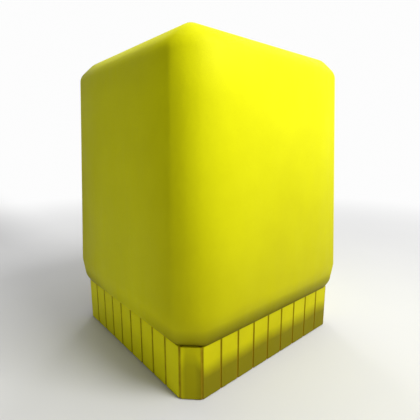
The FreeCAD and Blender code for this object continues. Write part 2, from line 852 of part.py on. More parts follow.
def make_door_stays():
    """Slotted quadrants fixed to the door's sides; a pin in the slot stops the door."""
    x0 = tub_half_width
    x1 = x0 + stay_thickness
    margin = math.degrees((stay_pin_radius + seat_gap) / stay_radius)
    slot_start = stay_pin_angle - door_open_angle - margin
    slot_end = stay_pin_angle + margin
    half = stay_band / 2
    slot_half = stay_pin_radius + seat_gap
    band = arc_band(stay_radius - half, stay_radius + half, slot_start - 4, 90, x0, x1)
    slot = arc_band(stay_radius - slot_half, stay_radius + slot_half, slot_start, slot_end, x0 - 1, x1 + 1)
    top = hinge_height + stay_radius
    plate = box(x0, x1, door_back + 0.5, door_tub_back - 2, top - 30, top + 50)
    stay = fuse([band, plate]).cut(slot)
    bolts = [cross_rod(rivet_radius + 0.1, x0 - 10, x1 + 10, door_back + stay_rivet_depth, z)
             for z in stay_rivet_heights()]
    stay = cut(stay, bolts)
    return Part.makeCompound([stay, mirror_x(stay)])


def stay_rivet_heights():
    top = hinge_height + stay_radius
    return [top + rise for rise in stay_rivet_rises]


def make_stay_rivets():
    """Rivets through the door tub's side walls and the stay plates."""
    depth = door_back + stay_rivet_depth
    wall_in = tub_half_width - door_tub_wall
    stay_out = tub_half_width + stay_thickness
    rivets = []
    for side in (-1, 1):
        for z in stay_rivet_heights():
            shank = cross_rod(rivet_radius, side * (wall_in - 1), side * (stay_out + 0.8), depth, z)
            head = cross_rod(rivet_head_radius, side * (wall_in - 1), side * wall_in, depth, z)
            cap = cross_rod(rivet_head_radius, side * stay_out, side * (stay_out + 0.8), depth, z)
            rivets.append(fuse([shank, head, cap]))
    return Part.makeCompound(rivets)


def stay_rivet_holes():
    depth = door_back + stay_rivet_depth
    reach = 10
    inner, outer = tub_half_width - reach, tub_half_width + reach
    return [cross_rod(rivet_radius + 0.1, side * inner, side * outer, depth, z)
            for side in (-1, 1) for z in stay_rivet_heights()]


def make_stay_pins():
    """Pins in the returned edge of the frame that run in the stays' slots."""
    v, w = stay_pin_place()
    wall_in = aperture_half_width
    wall_out = wall_in + frame_return_wall
    pins = []
    for side in (-1, 1):
        body = cross_rod(stay_pin_radius, side * (tub_half_width + seat_gap), side * wall_in, v, w)
        spigot = cross_rod(stay_pin_radius - 0.8, side * (wall_in - 0.5), side * (wall_out + 2), v, w)
        head = cross_rod(stay_pin_radius + 1, side * wall_out, side * (wall_out + 2), v, w)
        pins.append(fuse([body, spigot, head]))
    return Part.makeCompound(pins)


# ---------------------------------------------------------------- latch
def latch_screw_places():
    return [(x, 541) for x in (-20, 20)]


def keeper_base_depth():
    return door_tub_back - 7


def keeper_screw_xs():
    return (-22, 22)


def make_latch_keeper():
    """A bar between two ears, fixed on top of the door tub, that the latch hook catches."""
    ear = keeper_half_length
    high = tub_high
    base = box(-30, 30, keeper_base_depth() - 6, door_tub_back, high, high + sheet)
    parts = [base]
    for side in (-1, 1):
        x = sorted((side * ear, side * (ear + sheet)))
        parts.append(box(*x, keeper_base_depth(), door_tub_back + 6, keeper_height - 5, high + sheet))
        parts.append(box(*x, keeper_base_depth(), keeper_depth + 5, keeper_height - 5, keeper_height + 6))
    block = fuse(parts)
    block = block.cut(box(-60, 60, 0, door_tub_back + 0.3, 0, high))
    bar = cross_rod(keeper_radius, -ear - sheet, ear + sheet, keeper_depth, keeper_height)
    block = fuse([block, bar])
    return cut(block, [rod(2.1, (x, keeper_base_depth(), high - 1), (x, keeper_base_depth(), high + 5))
                       for x in keeper_screw_xs()])


def make_keeper_screws():
    screws = []
    for x in keeper_screw_xs():
        v = keeper_base_depth()
        top = tub_high + sheet
        head = rod(3.6, (x, v, top), (x, v, top + 1.8))
        screws.append(fuse([head, rod(2.0, (x, v, tub_high - door_tub_wall - 2), (x, v, top + 1))]))
    return Part.makeCompound(screws)


def make_latch_bracket():
    back = frame_back
    top = latch_height + 14
    tail = latch_depth + latch_tail
    spring_tab = latch_height - latch_tab_drop
    cheek = latch_cheek + sheet
    ear_front, ear_back = tail - 8, tail + 7
    plate = box(-28, 28, back, back + sheet, aperture_high + frame_return_wall + 0.5, top)
    parts = [plate]
    for side in (-1, 1):
        x = sorted((side * latch_cheek, side * cheek))
        parts.append(box(*x, back, ear_back, latch_height - 12, top))
        parts.append(box(*x, ear_front, ear_back, spring_tab, latch_height))
    parts.append(box(-cheek, cheek, latch_depth + 2, tail, top - sheet, top))
    parts.append(box(-cheek, cheek, ear_front, ear_back, spring_tab, spring_tab + sheet))
    tools = [cross_rod(latch_pin_radius + 0.05, -30, 30, latch_depth, latch_height)]
    tools += [screw_hole(x, z, 0, 20) for x, z in latch_screw_places()]
    return cut(fuse(parts), tools)


def make_latch_screws():
    screws = []
    for x, z in latch_screw_places():
        seat = frame_back + sheet
        head = depth_rod(flat_head_radius, x, z, seat, seat + 2)
        screws.append(fuse([head, depth_rod(screw_radius, x, z, casing_wall + seat_gap, seat + 1)]))
    return Part.makeCompound(screws)


def make_latch_pin():
    ends = latch_cheek + sheet
    pin = cross_rod(latch_pin_radius, -ends - 3, ends + 3, latch_depth, latch_height)
    head = cross_rod(latch_pin_radius + 1.5, ends, ends + 2, latch_depth, latch_height)
    return fuse([pin, head, mirror_x(head)])


def make_latch_hook():
    """The hook, drawn engaged over the keeper bar, then swung up to its released place."""
    half = 4.0
    bar_front = keeper_depth - keeper_radius - 0.5 - latch_depth
    tip = keeper_height - 1 - latch_height
    nose = 6.5
    tail_end = latch_tail + 5
    tail_side = [(-5, 9), (8, 9), (tail_end, 4), (tail_end, -6), (4, -9)]
    nose_side = [(bar_front + 8, tip + 15), (bar_front, tip + 12), (bar_front, tip),
                 (bar_front - nose, tip), (bar_front - nose - 1, tip + 22), (bar_front + 4, tip + 29)]
    points = tail_side + nose_side
    wire = Part.makePolygon([V(-half, latch_depth + a, latch_height + b) for a, b in points + points[:1]])
    body = Part.Face(wire).extrude(V(2 * half, 0, 0))
    boss = cross_rod(8, -half - 3.5, half + 3.5, latch_depth, latch_height)
    bore = cross_rod(latch_pin_radius + running_clearance, -20, 20, latch_depth, latch_height)
    tail = latch_depth + latch_tail
    spring_hole = cross_rod(1.5, -20, 20, tail, latch_height - 1)
    hook = cut(fuse([body, boss]), [bore, spring_hole])
    hook.rotate(V(0, latch_depth, latch_height), V(1, 0, 0), -latch_swing)
    return hook


def make_latch_spring():
    """Compact tension spring between the hook's tail and the bracket's lower tab."""
    wire = 0.5
    foot = latch_height - latch_tab_drop + sheet + wire + 0.1
    length = 11.0
    spring = coil(2.4, wire, 1.4, length)
    spring.translate(V(0, latch_depth + latch_tail, foot))
    return spring


# ---------------------------------------------------------------- coin compartment
def fascia_screw_places():
    inset = 7.0
    side = fascia_half_width - inset
    top = [(x, fascia_high - inset + 1) for x in (-side, 0, side)]
    return top + [(x, fascia_low + inset) for x in (-side, -60, 60, side)]


def make_fascia():
    plate = rounded_box(-fascia_half_width, fascia_half_width, fascia_face, casing_wall,
                        fascia_low, fascia_high, 6)
    tools = [box(drawer_left, drawer_right, -10, 10, drawer_low, drawer_high),
             box(slot_x - slot_width / 2, slot_x + slot_width / 2, -10, 10, slot_low, slot_high),
             depth_rod(button_radius + seat_gap, button_x, button_height, -10, 10),
             rounded_box(cup_left + 5, cup_right - 5, -10, 10, cup_low + 8, cup_high - 10, 4)]
    tools += [screw_hole(x, z, -10, 10) for x, z in fascia_screw_places() + card_screw_places()]
    tools += [screw_hole(x, z, -10, 10) for x, z in plate_screw_places() + strike_screw_places()]
    return cut(plate, tools)


def make_fascia_screws():
    return Part.makeCompound([pan_screw(x, z, fascia_face, frame_back + 3 - fascia_face)
                              for x, z in fascia_screw_places()])


def make_coin_vault():
    """Sheet-steel box behind the fascia: floor, sides, back and front flanges."""
    half, low, high = vault_half_width, vault_floor, vault_top
    start, end = frame_back, vault_depth
    floor = box(-half, half, start, end, low, low + sheet)
    side = box(half - sheet, half, start, end, low, high)
    back = box(-half, half, end - sheet, end, low, high)
    flange = box(half - sheet, frame_half_width - 1, start, start + sheet, low, high)
    body = fuse([floor, side, mirror_x(side), back, flange, mirror_x(flange)])
    return cut(body, [screw_hole(x, z, 0, 20) for x, z in frame_screw_places() if z > low])


def make_drawer_runners():
    """Two Z-section runners on the vault floor; the drawer slides on their ledges."""
    runners = []
    for side, edge in ((-1, drawer_left), (1, drawer_right)):
        floor = vault_floor + sheet
        web = sorted((edge, edge + side * sheet))
        ledge = sorted((edge - side * 12, edge + side * sheet))
        foot = sorted((edge, edge + side * 16))
        ledge_top = drawer_low + drawer_gap + 2 - seat_gap
        parts = [box(*web, frame_back + 2, drawer_depth, floor, floor + 24),
                 box(*ledge, frame_back + 2, drawer_depth, ledge_top - sheet, ledge_top),
                 box(*foot, frame_back + 2, drawer_depth, floor, floor + sheet)]
        runners.append(fuse(parts))
    return Part.makeCompound(runners)


def tray_bounds():
    return (drawer_left + drawer_side_gap, drawer_right - drawer_side_gap,
            drawer_low + drawer_gap + 2, drawer_high - 7)


def make_cash_drawer():
    """Drawer front and coin tray, folded and welded as one piece."""
    left, right, low, high = tray_bounds()
    front = rounded_box(drawer_left + drawer_gap, drawer_right - drawer_gap,
                        fascia_face - lock_proud, casing_wall,
                        drawer_low + drawer_gap, drawer_high - drawer_gap, 2.5)
    tray = box(left, right, casing_wall - 1, drawer_depth, low, high)
    hollow = box(left + sheet, right - sheet, casing_wall, drawer_depth - sheet, low + sheet, high + 1)
    body = fuse([front, tray]).cut(hollow)
    barrel = depth_rod(lock_barrel_radius + 0.1, lock_x, lock_height, -20, 20)
    return cut(body, [barrel])


def make_lock_cylinder():
    face = fascia_face - lock_proud
    barrel = depth_rod(lock_barrel_radius, lock_x, lock_height, face - 1, lock_length)
    flange = depth_rod(lock_barrel_radius + 3, lock_x, lock_height, face - 3, face)
    nut = depth_rod(lock_barrel_radius + 3, lock_x, lock_height, casing_wall, casing_wall + 3)
    bore = depth_rod(lock_plug_radius + running_clearance, lock_x, lock_height, -30, 60)
    return cut(fuse([barrel, flange, nut]), [bore])


def make_lock_plug():
    """The turning plug with its keyway."""
    face = fascia_face - lock_proud
    plug_end = lock_length + cam_gap
    square_end = plug_end + cam_thickness + 0.5
    plug = depth_rod(lock_plug_radius, lock_x, lock_height, face - 3.4, plug_end)
    square = box(lock_x - cam_square, lock_x + cam_square, lock_length, square_end,
                 lock_height - cam_square, lock_height + cam_square)
    stub = depth_rod(screw_radius, lock_x, lock_height, square_end - 0.2, lock_length + 8)
    keyway = box(lock_x - 0.7, lock_x + 0.7, face - 5, face + 12, lock_height - 4, lock_height + 4)
    return cut(fuse([plug, square, stub]), [keyway])


def make_lock_cam():
    """The flat cam arm on the back of the plug, pointing sideways while unlocked."""
    start = lock_length + cam_gap
    end = start + cam_thickness
    hole = cam_square + 0.05
    eye = depth_rod(8, lock_x, lock_height, start, end)
    arm = box(lock_x, lock_x + cam_length, start, end, lock_height - 6, lock_height + 6)
    arm = arm.makeFillet(4, [e for e in arm.Edges if abs(e.tangentAt(0).y) > 0.99
                             and e.CenterOfMass.x > lock_x + 10])
    square = box(lock_x - hole, lock_x + hole, start - 1, end + 1, lock_height - hole, lock_height + hole)
    return cut(fuse([eye, arm]), [square])


def make_cam_nut():
    start = lock_length + cam_gap + cam_thickness + 0.6
    nut = hex_prism(8, 0, 3)
    nut = nut.cut(Part.makeCylinder(2.05, 5))
    nut.rotate(V(0, 0, 0), V(1, 0, 0), -90)
    nut.translate(V(lock_x, start, lock_height))
    return nut


def strike_screw_places():
    return [(lock_x - 8, drawer_high + 7), (lock_x + 8, drawer_high + 7)]


def make_lock_strike():
    """The bent tab behind the fascia that the cam locks against."""
    tab_back = lock_length - 0.6
    low = drawer_high - 5
    half, base = 12, drawer_high + 2
    plate = box(lock_x - half - 2, lock_x + half + 2, casing_wall, casing_wall + sheet, base, base + 10)
    arm = box(lock_x - half, lock_x + half, casing_wall, tab_back, base, base + sheet)
    tab = box(lock_x - half, lock_x + half, tab_back - sheet, tab_back, low, base + sheet)
    return cut(fuse([plate, arm, tab]), [screw_hole(x, z, 0, 20) for x, z in strike_screw_places()])


def make_strike_screws():
    length = casing_wall + sheet + 2 - fascia_face
    return Part.makeCompound([pan_screw(x, z, fascia_face, length, trim_screw_radius)
                              for x, z in strike_screw_places()])


def plate_screw_places():
    out = slot_plate_margin / 2
    return [(slot_x, slot_low - out), (slot_x, slot_high + out)]


def make_coin_slot_plate():
    """Raised escutcheon with the coin slot."""
    face = fascia_face - slot_plate_proud
    plate = rounded_box(slot_x - slot_plate_half_width, slot_x + slot_plate_half_width, face, fascia_face,
                        slot_low - slot_plate_margin, slot_high + slot_plate_margin, 5)
    plate = plate.makeFillet(1.2, [e for e in plate.Edges if abs(e.CenterOfMass.y - face) < 0.01])
    slot = box(slot_x - slot_width / 2, slot_x + slot_width / 2, -20, 10, slot_low, slot_high)
    return cut(plate, [slot] + [screw_hole(x, z, -20, 10) for x, z in plate_screw_places()])


def make_slot_plate_screws():
    return Part.makeCompound([pan_screw(x, z, fascia_face - slot_plate_proud, 12, trim_screw_radius)
                              for x, z in plate_screw_places()])


def make_coin_mechanism():
    """Mechanism housing: a box with a coin passage, an outlet to each chute and the button's bore."""
    body = box(mech_left, mech_right, casing_wall, mech_depth, mech_low, mech_high)
    coin_way = box(slot_x - slot_width / 2, slot_x + slot_width / 2, casing_wall - 1, casing_wall + 45,
                   slot_low, slot_high)
    drop = box(slot_x - 14, slot_x + 14, casing_wall + 20, casing_wall + 50, mech_low - 1, slot_low + 4)
    lever_room = box(mech_left - 1, mech_left + 30, casing_wall - 1, casing_wall + lever_room_depth,
                     mech_low - 1, mech_high + 1)
    outlet = box(mech_left - 1, mech_left + 20,
                 chute_front - seat_gap, chute_front + chute_width + seat_gap,
                 mech_low + 24, mech_high - 4)
    stem = depth_rod(3.2, button_x, button_height, 0, 50)
    screws = [screw_hole(x, z, 0, casing_wall + 8) for x, z in plate_screw_places()]
    return cut(body, [coin_way, drop, lever_room, outlet, stem] + screws)


def make_coin_chute():
    """Sloping U-channel from the mechanism to the cash tray."""
    start = V(mech_left, 0, mech_low + 27)
    end = V(drawer_right - 30, 0, drawer_high + 3)
    length = (start - end).Length
    front, back = chute_front, chute_front + chute_width
    channel = box(-length, chute_entry, front, back, 0, 20)
    channel = channel.cut(box(-length - 1, chute_entry + 1, front + sheet, back - sheet, sheet, 21))
    slope = math.degrees(math.atan2(start.z - end.z, start.x - end.x))
    channel.rotate(V(0, 0, 0), V(0, 1, 0), -slope)
    channel.translate(V(mech_left, 0, start.z))
    return channel


def make_return_button():
    face = fascia_face - button_proud
    cap = depth_rod(button_radius, button_x, button_height, face, casing_wall)
    rim = [e for e in cap.Edges if abs(e.CenterOfMass.y - face) < 0.01 and e.Length > 20]
    cap = cap.makeFillet(1.5, rim)
    flange = depth_rod(button_radius + 2.5, button_x, button_height,
                       casing_wall, casing_wall + button_flange)
    stem = depth_rod(3.0, button_x, button_height, casing_wall, casing_wall + 26)
    return fuse([cap, flange, stem])


def make_button_spring():
    wire, slack = 0.5, 0.1
    length = lever_room_depth - button_flange - 2 * (wire + slack)
    spring = coil(4.6, wire, 2.4, length)
    spring.rotate(V(0, 0, 0), V(1, 0, 0), -90)
    spring.translate(V(button_x, casing_wall + button_flange + wire + slack, button_height))
    return spring


def make_coin_cup():
    """The coin-return pocket behind the fascia."""
    outer = box(cup_left, cup_right, casing_wall, cup_depth, cup_low, cup_high)
    hollow = box(cup_left + 2, cup_right - 2, casing_wall - 1, cup_depth - 2, cup_low + 2, cup_high - 2)
    inlet = box(slot_x - 12, slot_x + 12, casing_wall + 20, cup_depth - 3, cup_high - 5, cup_high + 1)
    bore = cross_rod(flap_pin_radius + 0.1, cup_left - 5, cup_right + 5, flap_axis_depth, flap_axis_height)
    return cut(outer, [hollow, inlet, bore])


def make_coin_flap():
    left, right = cup_left + flap_side_gap, cup_right - flap_side_gap
    plate = box(left, right, flap_axis_depth - flap_thickness / 2, flap_axis_depth + flap_thickness / 2,
                cup_low + 4, flap_axis_height)
    barrel = cross_rod(2.3, left, right, flap_axis_depth, flap_axis_height)
    bore = cross_rod(flap_pin_radius + running_clearance, left - 5, right + 5,
                     flap_axis_depth, flap_axis_height)
    grip = box((left + right) / 2 - 10, (left + right) / 2 + 10, flap_axis_depth - 3.0, flap_axis_depth,
               cup_low + 12, cup_low + 14)
    return cut(fuse([plate, barrel, grip]), [bore])


def make_flap_pin():
    return cross_rod(flap_pin_radius, cup_left - 1.5, cup_right + 1.5, flap_axis_depth, flap_axis_height)


def card_screw_places():
    middle = (card_low + card_high) / 2
    return [(card_left + 4, middle), (card_right - 4, middle)]


def card_block(depth0, depth1, play):
    """A block that fills the card frame's pocket between two depths."""
    side, rim = card_lip + play, card_lip_low + play
    return box(card_left + side, card_right - side, depth0, depth1, card_low + rim, card_high - rim)


def make_card_frame():
    """Raised bezel that holds the price card and its cover."""
    plate = rounded_box(card_left, card_right, fascia_face - card_bezel, fascia_face,
                        card_low, card_high, 3)
    window = card_block(-20, 20, 3)
    pocket = card_block(fascia_face - card_thickness - cover_thickness, fascia_face + 1, 0)
    return cut(plate, [window, pocket] + [screw_hole(x, z, -10, 10) for x, z in card_screw_places()])


def make_card_cover():
    back = fascia_face - card_thickness
    return card_block(back - cover_thickness, back, card_play)


def make_price_card():
    return card_block(fascia_face - card_thickness, fascia_face, card_play)


def make_card_screws():
    return Part.makeCompound([pan_screw(x, z, fascia_face - card_bezel, 8, trim_screw_radius)
                              for x, z in card_screw_places()])


# ---------------------------------------------------------------- build
def build():
    core = casing_core()
    nodes = {
        "casing_shell": make_casing(core),
        "base_skirt": make_base_skirt(),
        "base_tray": make_base_tray(),
        "foot_pads": make_foot_pads(),
        "ballast_slabs": make_ballast(),
        "ballast_strap": make_ballast_strap(),
        "strap_bolts": make_strap_bolts(),
        "cabinet_floor": make_cabinet_floor(),
        "tie_bolts": make_tie_bolts(),
        "tie_nuts": make_tie_nuts(),
        "shelf_supports": make_shelf_supports(),
        "support_screws": make_support_screws(),
        "paper_shelf": make_paper_shelf(),
    }
    door_frame = cut(make_door_frame(), stay_rivet_holes())
    front = {
        "front_frame": make_front_frame(),
        "frame_screws": make_frame_screws(),
        "frame_nuts": make_frame_nuts(),
        "weather_seal": make_weather_seal(),
        "hinge_frame_leaf": hinge_leaf(False, casing_wall - leaf_thickness, leaf_screw_places()),
        "hinge_door_leaf": hinge_leaf(True, door_back, door_leaf_screw_places()),
        "hinge_pin": make_hinge_pin(),
        "frame_leaf_screws": make_frame_leaf_screws(),
        "door_leaf_screws": make_door_leaf_screws(),
        "door_springs": make_door_springs(),
        "door_frame": door_frame,
        "door_window": make_door_window(),
        "window_gasket": make_window_gasket(),
        "window_retainer": make_window_retainer(),
        "retainer_screws": make_retainer_screws(),
        "display_clips": make_display_clips(),
        "door_handle": make_door_handle(),
        "door_stays": make_door_stays(),
        "stay_pins": make_stay_pins(),
        "latch_keeper": make_latch_keeper(),
        "door_fasteners": group([make_handle_screws(), make_keeper_screws(), make_stay_rivets()]),
        "latch_bracket": make_latch_bracket(),
        "latch_screws": make_latch_screws(),
        "latch_pin": make_latch_pin(),
        "latch_hook": make_latch_hook(),
        "latch_spring": make_latch_spring(),
        "fascia_plate": make_fascia(),
        "fascia_screws": make_fascia_screws(),
        "coin_vault": make_coin_vault(),
        "drawer_runners": make_drawer_runners(),
        "cash_drawer": make_cash_drawer(),
        "lock_cylinder": make_lock_cylinder(),
        "lock_plug": make_lock_plug(),
        "lock_cam": group([make_lock_cam(), make_cam_nut()]),
        "lock_strike": make_lock_strike(),
        "coin_slot_plate": make_coin_slot_plate(),
        "coin_front_screws": group([make_strike_screws(), make_slot_plate_screws(), make_card_screws()]),
        "card_frame": make_card_frame(),
        "card_cover": make_card_cover(),
        "price_card": make_price_card(),
        "coin_mechanism": make_coin_mechanism(),
        "coin_chute": make_coin_chute(),
        "return_button": make_return_button(),
        "button_spring": make_button_spring(),
        "coin_cup": make_coin_cup(),
        "coin_flap": make_coin_flap(),
        "flap_pin": make_flap_pin(),
    }
    for name, shape in front.items():
        nodes[name] = on_front(shape)
    return nodes


def main():
    os.makedirs("parts", exist_ok=True)
    for name, shape in build().items():
        shape.exportStep("parts/" + name + ".step")
        bounds = shape.BoundBox
        print(f"{name:20s} solids {len(shape.Solids):2d} valid {shape.isValid()} volume {shape.Volume:12.1f}"
              f" x {bounds.XMin:.1f}..{bounds.XMax:.1f} y {bounds.YMin:.1f}..{bounds.YMax:.1f}"
              f" z {bounds.ZMin:.1f}..{bounds.ZMax:.1f}")
    for label, depth, height in (("hinge", hinge_depth, hinge_height), ("latch", latch_depth, latch_height),
                                 ("flap", flap_axis_depth, flap_axis_height), ("lock", 0.0, lock_height)):
        spot = on_front(Part.Vertex(0, depth, height)).Point
        print(f"axis {label} x 0 y {spot.y:.4f} z {spot.z:.4f}")
    print(f"draft {draft:.5f} degrees")


main()
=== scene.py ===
import json
import math

import bmesh
import bpy
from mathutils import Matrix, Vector


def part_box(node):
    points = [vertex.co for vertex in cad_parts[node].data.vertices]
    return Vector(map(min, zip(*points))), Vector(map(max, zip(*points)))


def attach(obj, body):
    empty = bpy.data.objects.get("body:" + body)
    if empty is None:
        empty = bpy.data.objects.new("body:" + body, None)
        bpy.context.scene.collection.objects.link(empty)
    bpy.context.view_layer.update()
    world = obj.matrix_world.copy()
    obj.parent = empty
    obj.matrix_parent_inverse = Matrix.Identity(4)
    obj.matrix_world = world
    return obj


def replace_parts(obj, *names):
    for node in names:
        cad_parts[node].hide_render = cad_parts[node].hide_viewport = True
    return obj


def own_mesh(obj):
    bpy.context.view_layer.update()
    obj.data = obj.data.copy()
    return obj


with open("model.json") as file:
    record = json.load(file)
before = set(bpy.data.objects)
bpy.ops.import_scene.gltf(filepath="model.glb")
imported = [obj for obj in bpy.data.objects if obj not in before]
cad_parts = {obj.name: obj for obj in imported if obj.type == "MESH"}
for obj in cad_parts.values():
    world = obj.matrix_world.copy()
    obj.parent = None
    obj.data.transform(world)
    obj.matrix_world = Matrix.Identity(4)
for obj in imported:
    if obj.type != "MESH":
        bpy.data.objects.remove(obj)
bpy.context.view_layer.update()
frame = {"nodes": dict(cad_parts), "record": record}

NODES = frame["nodes"]
SCENE = bpy.context.scene
SCENE.view_settings.view_transform = "Standard"

MM = 0.001

# Casing and plinth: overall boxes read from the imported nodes, and the sizes between them
SKIRT_LOW, SKIRT_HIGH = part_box("base_skirt")
CASING_LOW, CASING_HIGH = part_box("casing_shell")
RIM_TO_HIP = 72 * MM
SHOULDER_TO_TOP = 43 * MM
HIP_HEIGHT = CASING_LOW.z + RIM_TO_HIP
SHOULDER_HEIGHT = CASING_HIGH.z - SHOULDER_TO_TOP
HIP_HALF = 289 * MM
SHOULDER_HALF = 267 * MM
GROOVE_BAYS = 9
SKIRT_CHAMFER = 35 * MM
GROOVE_SPAN = (SKIRT_HIGH.x - SKIRT_LOW.x) - 2 * SKIRT_CHAMFER

# Camera
CAMERA_PLACE = (0.6328, 0.7545, 0.5319)
CAMERA_DIRECTION = (-0.6416, -0.7438, -0.1876)
CAMERA_LENS = 28.714

# Paper surround: glow in the open, low down towards +X, and high up towards +X
OPEN_GLOW = 0.98
LOW_GLOW = 0.36
DIM_GLOW = 0.08
FLOOR_HALF = 40.0
FLOOR_FADE = (0.7, 3.0)


# ------------------------------------------------------------------ camera, floor and light
def make_camera():
    """Looks at the back corner from a little above the middle, as close as a person would stand."""
    camera = bpy.data.objects.new("camera", bpy.data.cameras.new("camera"))
    SCENE.collection.objects.link(camera)
    camera.location = CAMERA_PLACE
    camera.rotation_euler = Vector(CAMERA_DIRECTION).to_track_quat("-Z", "Y").to_euler()
    camera.data.sensor_width = 36.0
    camera.data.lens = CAMERA_LENS
    camera.data.clip_start = 0.01
    SCENE.camera = camera


def area_light(name, place, target, size, watts):
    light = bpy.data.lights.new(name, "AREA")
    light.energy = watts
    light.size = size
    thing = bpy.data.objects.new(name, light)
    SCENE.collection.objects.link(thing)
    thing.location = place
    thing.rotation_euler = (Vector(target) - Vector(place)).to_track_quat("-Z", "Y").to_euler()


def soft_step(tree, source, low, high, start, end):
    """A smooth change from start to end while source goes from low to high."""
    step = tree.nodes.new("ShaderNodeMapRange")
    step.interpolation_type = "SMOOTHSTEP"
    for key, value in (("From Min", low), ("From Max", high), ("To Min", start), ("To Max", end)):
        step.inputs[key].default_value = value
    tree.links.new(source, step.inputs["Value"])
    return step.outputs["Result"]


def surround_glow(tree, sideways, upward=None):
    """Brightness of the surround by direction: white, but towards +X pale low down and dim above."""
    brighter = tree.nodes.new("ShaderNodeMath")
    brighter.operation = "MAXIMUM"
    tree.links.new(soft_step(tree, sideways, -0.04, 0.44, OPEN_GLOW, 0.0), brighter.inputs[0])
    brighter.inputs[1].default_value = LOW_GLOW
    if upward is not None:
        tree.links.new(soft_step(tree, upward, 0.15, 0.60, LOW_GLOW, DIM_GLOW), brighter.inputs[1])
    return brighter.outputs["Value"]


def make_light():
    """A soft key high over the back and a bright paper surround, dimmer on the +X side."""
    area_light("key", (-0.50, 1.75, 2.65), (0, 0.25, 0.40), 1.1, 71)
    area_light("door_spark", (-1.30, -1.70, 1.50), (0, -0.2, 0.50), 0.5, 9)
    world = bpy.data.worlds.new("studio")
    SCENE.world = world
    world.use_nodes = True
    tree = world.node_tree
    direction = tree.nodes.new("ShaderNodeTexCoord").outputs["Generated"]
    toward = tree.nodes.new("ShaderNodeSeparateXYZ")
    tree.links.new(direction, toward.inputs[0])
    glow = surround_glow(tree, toward.outputs["X"], toward.outputs["Z"])
    backdrop = tree.nodes["Background"]
    tree.links.new(glow, backdrop.inputs["Strength"])
    backdrop.inputs["Color"].default_value = (1, 1, 1, 1)


def make_floor():
    """Pale paper floor that turns into the glowing surround with distance, so no horizon shows."""
    mesh = bpy.data.meshes.new("floor")
    corners = [(x * FLOOR_HALF, y * FLOOR_HALF, 0) for x, y in ((-1, -1), (1, -1), (1, 1), (-1, 1))]
    mesh.from_pydata(corners, [], [(0, 1, 2, 3)])
    floor = bpy.data.objects.new("floor", mesh)
    SCENE.collection.objects.link(floor)
    shade = Shade("floor_paper")
    fibre = shade.noise(180, 4, 0.6)
    cloud = shade.mix_colour(shade.noise(2.2, 3), (0.63, 0.63, 0.63), (0.67, 0.67, 0.67))
    shade.colour(shade.mix_colour(shade.math("MULTIPLY", fibre, 0.05), cloud, (0.5, 0.5, 0.5)))
    shade.set("Roughness", 0.95)
    shade.set("Specular IOR Level", 0.1)
    shade.feed("Normal", shade.bump(fibre, 0.05, 0.0005))
    length = shade.node("ShaderNodeVectorMath", operation="LENGTH")
    shade.join(shade.place, length.inputs[0])
    radius = length.outputs["Value"]
    glow = shade.node("ShaderNodeEmission")
    sideways = shade.math("DIVIDE", shade.axis("X"), radius)
    shade.join(surround_glow(shade.tree, sideways), glow.inputs["Strength"])
    blend = shade.node("ShaderNodeMixShader")
    shade.join(soft_step(shade.tree, radius, *FLOOR_FADE, 0.0, 1.0), blend.inputs[0])
    shade.join(shade.shader.outputs["BSDF"], blend.inputs[1])
    shade.join(glow.outputs["Emission"], blend.inputs[2])
    shade.join(blend.outputs["Shader"], shade.tree.nodes["Material Output"].inputs["Surface"])
    floor.data.materials.append(shade.done())


